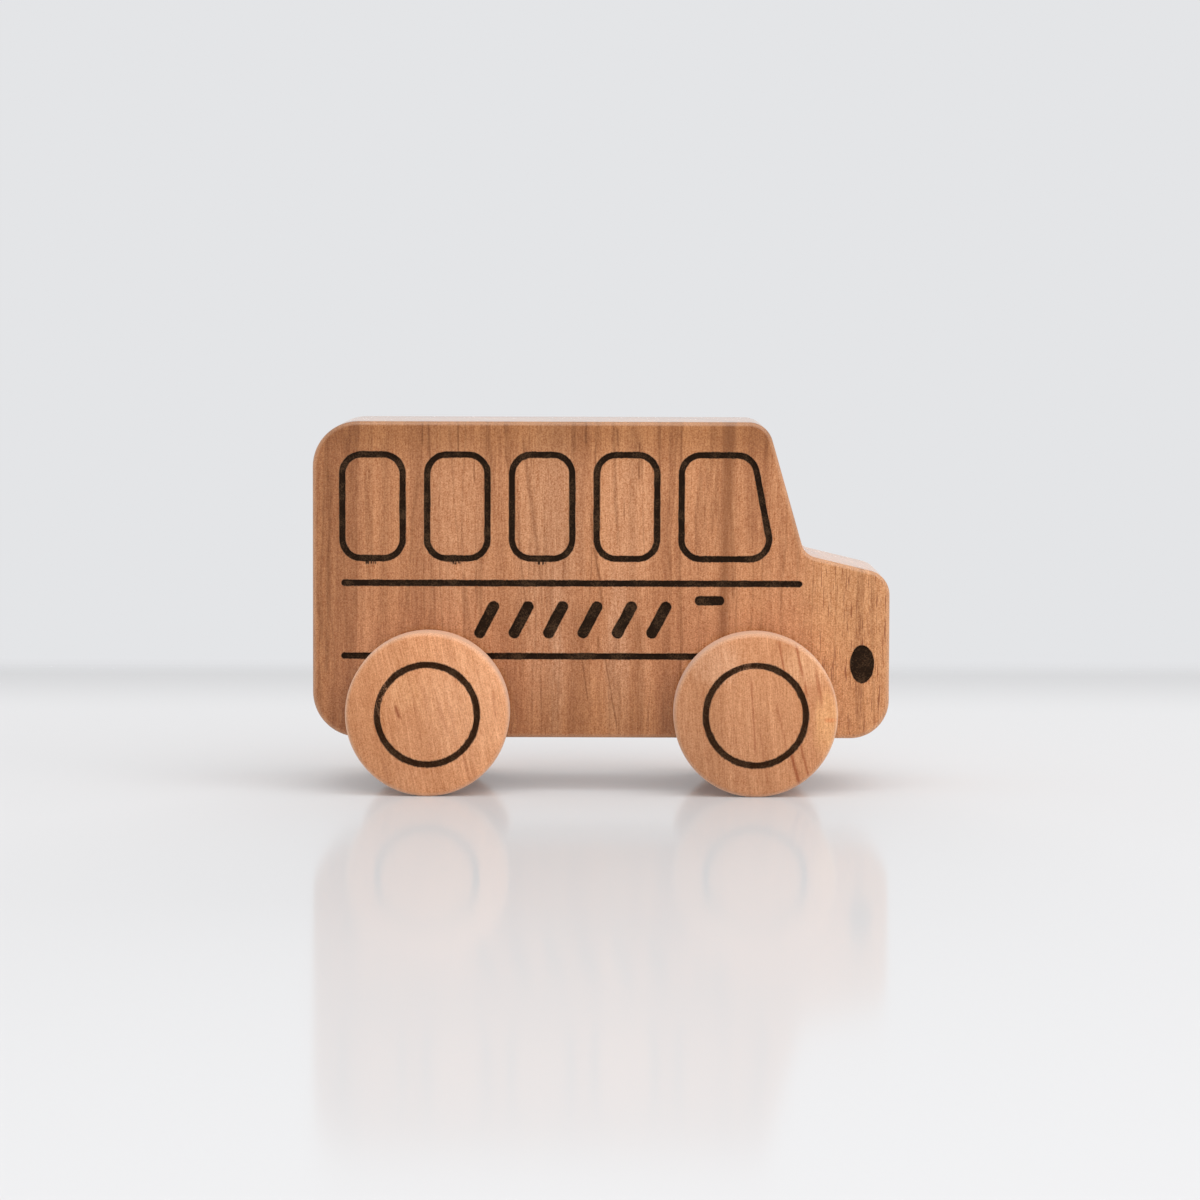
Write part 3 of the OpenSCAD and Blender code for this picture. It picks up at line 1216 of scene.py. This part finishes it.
@dataclass
class Studio:
    """Camera, pale floor, background and soft light."""

    camera_place: Triple = (1.42 * MM, -1019.0 * MM, 110.06 * MM)
    pitch: float = math.radians(3.931)
    yaw: float = math.radians(0.096)
    roll: float = math.radians(0.169)
    lens_mm: float = 140.0
    sensor_mm: float = 36.0
    floor_half_width: float = 1.0
    floor_front: float = -1.0
    floor_back: float = 0.30
    floor_fade: float = 0.035
    edge_fade: float = 0.3
    # Width and tone of the painted shade along the floor's back edge
    seam_shade_width: float = 0.14
    floor_tone: Colour = (0.79, 0.79, 0.80)
    seam_shade_tone: Colour = (0.60, 0.60, 0.61)
    wall_tone: Colour = (0.775, 0.783, 0.80)
    gloss_share: float = 0.5
    gloss_roughness: float = 0.1
    gloss_index: float = 1.45
    glow_tone: Colour = (0.85, 0.85, 0.855)
    glow_share: float = 0.1
    fill_tone: Colour = (1.0, 1.0, 1.0)
    fill_strength: float = 0.66
    lamps: tuple[SoftBox, ...] = (
        SoftBox("window_light", (0.45, -0.8, 1.35), (2.0, 2.0), 17.0, mirrored=True),
        SoftBox("back_light", (0.2, 2.4, 0.7), (2.0, 0.8), 38.0, mirrored=False),
    )

    def camera(self) -> None:
        """Puts the camera at the photograph's viewing angle."""
        data = bpy.data.cameras.new("camera")
        data.lens, data.sensor_width, data.sensor_fit = self.lens_mm, self.sensor_mm, "HORIZONTAL"
        made = placed("camera", data)
        level = Euler((math.pi / 2 - self.pitch, 0.0, self.yaw)).to_matrix()
        turned = level @ Matrix.Rotation(self.roll, 3, "Z")
        made.matrix_world = Matrix.Translation(self.camera_place) @ turned.to_4x4()
        bpy.context.scene.camera = made

    def floor(self) -> None:
        """Lays a polished floor that fades out close behind the bus, and far off on its other sides."""
        wide, front, back, fade = self.floor_half_width, self.floor_front, self.floor_back, self.floor_fade
        end = back + fade
        mesh = bpy.data.meshes.new("floor")
        corners = [(-wide, front, 0.0), (wide, front, 0.0), (wide, end, 0.0), (-wide, end, 0.0)]
        mesh.from_pydata(corners, [], [(0, 1, 2, 3)])
        made = placed("floor", mesh)
        material = bpy.data.materials.new("polished_floor")
        material.use_nodes = True
        shader = Shader(material.node_tree)
        x, y, _ = shader.split(shader.node("ShaderNodeTexCoord", {}, {}).outputs["Object"])
        # Painted shade: the floor darkens towards its back edge, like the corner where a floor meets a wall
        tone = shader.mix(y.step(back - self.seam_shade_width, back), self.floor_tone, self.seam_shade_tone)
        matt = shader.node("ShaderNodeBsdfDiffuse", {}, {"Color": tone})
        glow = shader.node("ShaderNodeEmission", {}, {"Color": (*self.glow_tone, 1.0), "Strength": 1.0})
        pale = shader.blend(self.glow_share * shader.seen(), matt, glow)
        gloss = shader.node("ShaderNodeBsdfGlossy", {}, {"Roughness": self.gloss_roughness})
        fresnel = shader.node("ShaderNodeFresnel", {}, {"IOR": self.gloss_index}).outputs[0]
        polished = shader.blend(self.gloss_share * Value(shader, fresnel), pale, gloss)
        faded = y.step(back - fade, end).most(y.step(front + self.edge_fade, front))
        faded = faded.most(abs(x).step(wide - self.edge_fade, wide))
        clear = shader.node("ShaderNodeBsdfTransparent", {}, {})
        whole = shader.blend(faded, polished, clear)
        shader.node("ShaderNodeOutputMaterial", {}, {"Surface": whole.outputs[0]})
        mesh.materials.append(material)

    def background(self) -> None:
        """Sets a pale wall for what the camera and reflections see, and even fill light for the rest."""
        world = bpy.data.worlds.new("studio")
        world.use_nodes = True
        bpy.context.scene.world = world
        shader = Shader(world.node_tree)
        tones = ((self.fill_tone, self.fill_strength), (self.wall_tone, 1.0))
        fill, wall = (
            shader.node("ShaderNodeBackground", {}, {"Color": (*tone, 1.0), "Strength": strength})
            for tone, strength in tones
        )
        both = shader.blend(shader.seen(), fill, wall)
        shader.node("ShaderNodeOutputWorld", {}, {"Surface": both.outputs[0]})

    def build(self) -> None:
        """Sets up the whole studio."""
        self.camera()
        self.floor()
        self.background()
        for lamp in self.lamps:
            lamp.build()
        bpy.context.scene.view_settings.view_transform = "Standard"


REAR_WHEEL_STREAKS = (
    Streak(-6.2, -0.35, 0.6, 1.0, -0.8, 1.9, 0.6),
    Streak(-2.4, -0.2, 0.7, 0.25, -6.0, 8.0),
    Streak(3.1, -0.3, 0.7, 0.35, -4.0, 3.0),
    Streak(5.0, -0.2, 0.7, 0.3, -9.0, 2.0),
    Streak(5.2, -0.28, 0.7, 0.4, -15.0, -7.0),
    Streak(14.6, -0.1, 0.6, 0.4, -1.0, 5.0),
)
REAR_WHEEL_PATCHES = (
    Patch((9.0, 3.0), (13.0, 18.0), 0.45, (0.80, 0.41, 0.215)),
    Patch((-13.0, -3.0), (9.0, 16.0), 0.4, (0.62, 0.24, 0.083)),
    Patch((-4.8, 4.8), (5.0, 5.5), 0.5, (0.82, 0.40, 0.185)),
)
REAR_WHEEL_SCUFFS = (SoftOval((-9.6, 3.5), (3.0, 6.5), 0.6),)
FRONT_WHEEL_STREAKS = (
    Streak(-4.5, -0.05, 0.6, 0.25, -16.0, -11.0),
    Streak(-0.6, -0.08, 0.4, 0.6, -8.0, 8.0),
    Streak(0.6, -0.14, 0.6, 0.3, -14.0, -3.0),
    Streak(4.9, -0.2, 0.45, 0.5, -9.0, 2.0),
    Streak(5.0, -0.3, 0.85, 1.0, -16.5, -7.5, 1.0),
    Streak(7.5, -0.31, 0.55, 0.8, -14.0, -4.0),
    Streak(7.6, -0.17, 0.45, 0.8, 9.0, 16.0, 1.0),
    Streak(11.7, -0.215, 0.55, 0.85, 4.0, 15.0, 1.0),
    Streak(14.3, -0.16, 0.7, 0.65, 2.0, 10.0),
)
FRONT_WHEEL_PATCHES = (
    Patch((15.2, -1.5), (3.6, 9.0), 0.6, (0.80, 0.40, 0.16)),
    Patch((15.9, -0.9), (1.5, 0.7), 0.6, (0.62, 0.18, 0.05)),
    Patch((-8.5, 11.0), (6.5, 6.0), 0.5, (0.78, 0.41, 0.23)),
    Patch((10.5, 10.5), (6.5, 5.5), 0.5, (0.80, 0.43, 0.22)),
)
FRONT_WHEEL_SCUFFS = (SoftOval((-2.5, 10.2), (7.0, 2.2), 0.4),)
BODY_STREAKS = (
    # Long lines and broad streaks
    Streak(-58.6, 0.03, 0.8, 0.5, -20.0, 22.0),
    Streak(-46.6, 0.0, 1.8, 0.3, -30.0, 30.0),
    Streak(-36.2, -0.03, 0.45, 0.6, 24.0, 34.0),
    Streak(-30.0, -0.08, 0.45, 0.32, 4.0, 33.0),
    Streak(-18.6, 0.0, 2.6, 0.2, -34.0, -4.0),
    Streak(-17.0, -0.13, 0.5, 0.5, -12.0, 28.0),
    Streak(-13.0, -0.13, 0.8, 0.5, 0.0, 30.0),
    Streak(-6.3, 0.0, 0.7, 0.45, 22.0, 36.0),
    Streak(-4.4, 0.0, 3.6, 0.32, -34.0, -6.0),
    Streak(-0.4, -0.13, 0.6, 0.55, -6.0, 14.0),
    Streak(4.2, -0.05, 0.7, 0.5, 8.0, 34.0),
    Streak(6.9, 0.0, 1.6, 0.25, -34.0, 34.0),
    Streak(8.0, 0.0, 2.0, 0.4, -34.0, -8.0),
    Streak(12.6, 0.0, 0.5, 0.45, 18.0, 34.0),
    Streak(14.0, 0.0, 1.8, 0.3, -34.0, -10.0),
    Streak(17.2, 0.0, 0.5, 0.55, -30.0, 34.0),
    Streak(26.2, 0.0, 1.6, 0.5, -22.0, 2.0),
    Streak(26.4, 0.02, 1.6, 0.4, -34.0, 34.0),
    Streak(27.0, 0.03, 1.5, 0.5, 14.0, 36.0),
    Streak(28.2, -0.03, 0.7, 0.5, -4.0, 34.0),
    # Short thin lines
    Streak(-58.6, 0.0, 0.5, 0.7, 20.5, 24.0, 0.8),
    Streak(-38.4, 0.0, 0.3, 0.8, 29.0, 34.0, 0.8),
    Streak(-30.8, 0.0, 0.35, 0.8, 27.5, 34.0, 0.8),
    Streak(-26.8, 0.0, 0.3, 0.6, -3.0, 3.5, 0.8),
    Streak(-26.0, -0.05, 0.3, 0.7, 21.0, 27.0, 0.8),
    Streak(-6.5, -0.137, 0.35, 0.8, -26.0, -17.0, 0.8),
    Streak(-5.9, 0.0, 0.3, 0.7, 27.5, 34.0, 0.8),
    Streak(-3.5, 0.0, 0.35, 0.8, 29.0, 34.0, 0.8),
    Streak(-1.5, -0.15, 0.35, 0.75, -32.0, -17.0, 0.8),
    Streak(-1.4, 0.0, 0.3, 0.7, 23.5, 29.0, 0.8),
    Streak(-0.5, 0.0, 0.35, 0.7, -15.0, -12.0, 0.8),
    Streak(-0.1, -0.22, 0.35, 0.8, 0.0, 7.0, 0.8),
    Streak(5.1, 0.0, 0.3, 0.6, 13.5, 17.0, 0.8),
    Streak(6.5, -0.1, 0.35, 0.8, 28.5, 32.5, 0.8),
    Streak(8.2, 0.0, 0.4, 0.8, 21.5, 30.0, 0.8),
    Streak(13.2, 0.0, 0.35, 0.6, -33.0, -24.0, 0.8),
)
BODY_PATCHES = (
    Patch((-11.0, 6.0), (9.0, 45.0), 0.5, (0.64, 0.31, 0.155)),
    Patch((54.0, -10.0), (14.0, 42.0), 0.6, (0.65, 0.314, 0.130)),
    Patch((-46.0, 8.0), (7.0, 30.0), 0.4, (0.60, 0.25, 0.10)),
    Patch((20.0, -10.0), (5.0, 30.0), 0.35, (0.44, 0.17, 0.068)),
    Patch((-31.0, 12.0), (9.0, 36.0), 0.55, (0.66, 0.30, 0.140)),
    Patch((5.6, 12.0), (7.0, 28.0), 0.55, (0.68, 0.32, 0.155)),
    Patch((2.0, -9.0), (26.0, 13.0), 0.5, (0.47, 0.18, 0.068)),
    Patch((-14.4, -20.0), (2.4, 24.0), 0.4, (0.66, 0.31, 0.15)),
    Patch((-9.6, -18.0), (1.8, 26.0), 0.6, (0.70, 0.35, 0.185)),
    Patch((3.4, -18.0), (3.4, 26.0), 0.55, (0.70, 0.35, 0.185)),
    Patch((9.6, -22.0), (1.6, 20.0), 0.4, (0.66, 0.31, 0.15)),
    Patch((33.0, -4.0), (4.0, 16.0), 0.6, (0.64, 0.28, 0.118)),
    Patch((23.6, 30.0), (2.6, 9.0), 0.5, (0.60, 0.26, 0.11)),
)


def main() -> None:
    """Builds the bus and its studio, and reports each piece."""
    Studio().build()
    body_wood = BodyWood(
        "body_wood",
        pale=(0.63, 0.274, 0.118),
        deep=(0.43, 0.166, 0.063),
        line=(0.235, 0.072, 0.014),
        # Paler tone of the sanded edges: partly sanding, partly a painted highlight
        edge=(0.74, 0.44, 0.27),
        # Painted light: the block is brighter towards the nose
        painted_light_slope=(0.0012, 0.0),
        face=-19.0,
        streaks=BODY_STREAKS,
        patches=BODY_PATCHES,
    )
    dowel_wood = WoodFinish(
        "dowel_wood",
        pale=(0.7, 0.45, 0.25),
        deep=(0.6, 0.35, 0.18),
        line=(0.4, 0.2, 0.1),
        edge=(0.7, 0.45, 0.25),
    )
    wheel_woods = {
        "rear_right": WheelWood(
            "rear_right_wood",
            light=0.97,
            tilt=math.radians(12.0),
            shift=(3.0, 7.125, 2.0),
            streaks=REAR_WHEEL_STREAKS,
            patches=REAR_WHEEL_PATCHES,
            scuffs=REAR_WHEEL_SCUFFS,
        ),
        "rear_left": WheelWood(
            "rear_left_wood",
            tilt=math.radians(-9.0),
            shift=(31.0, 2.125, 17.0),
            face=5.0,
            streaks=FRONT_WHEEL_STREAKS,
        ),
        "front_right": WheelWood(
            "front_right_wood",
            light=0.865,
            tilt=math.radians(4.0),
            shift=(57.0, 11.125, 5.0),
            streaks=FRONT_WHEEL_STREAKS,
            patches=FRONT_WHEEL_PATCHES,
            scuffs=FRONT_WHEEL_SCUFFS,
        ),
        "front_left": WheelWood(
            "front_left_wood",
            tilt=math.radians(16.0),
            shift=(83.0, 5.125, 29.0),
            face=5.0,
            streaks=REAR_WHEEL_STREAKS,
        ),
    }
    made = [BusBody().build(body_wood)]
    for end in ("rear", "front"):
        body = f"{end}_wheelset"
        made.append(Axle(f"{end}_axle").build(dowel_wood, body))
        for hand in Hand:
            place = f"{end}_{hand.name.lower()}"
            made.append(Wheel(f"{place}_wheel", hand).build(wheel_woods[place], body))
    for piece in made:
        log.info("%s: %d points, %d faces", piece.name, len(piece.data.vertices), len(piece.data.polygons))


if __name__ == "__main__":
    logging.basicConfig(level=logging.INFO)
    main()
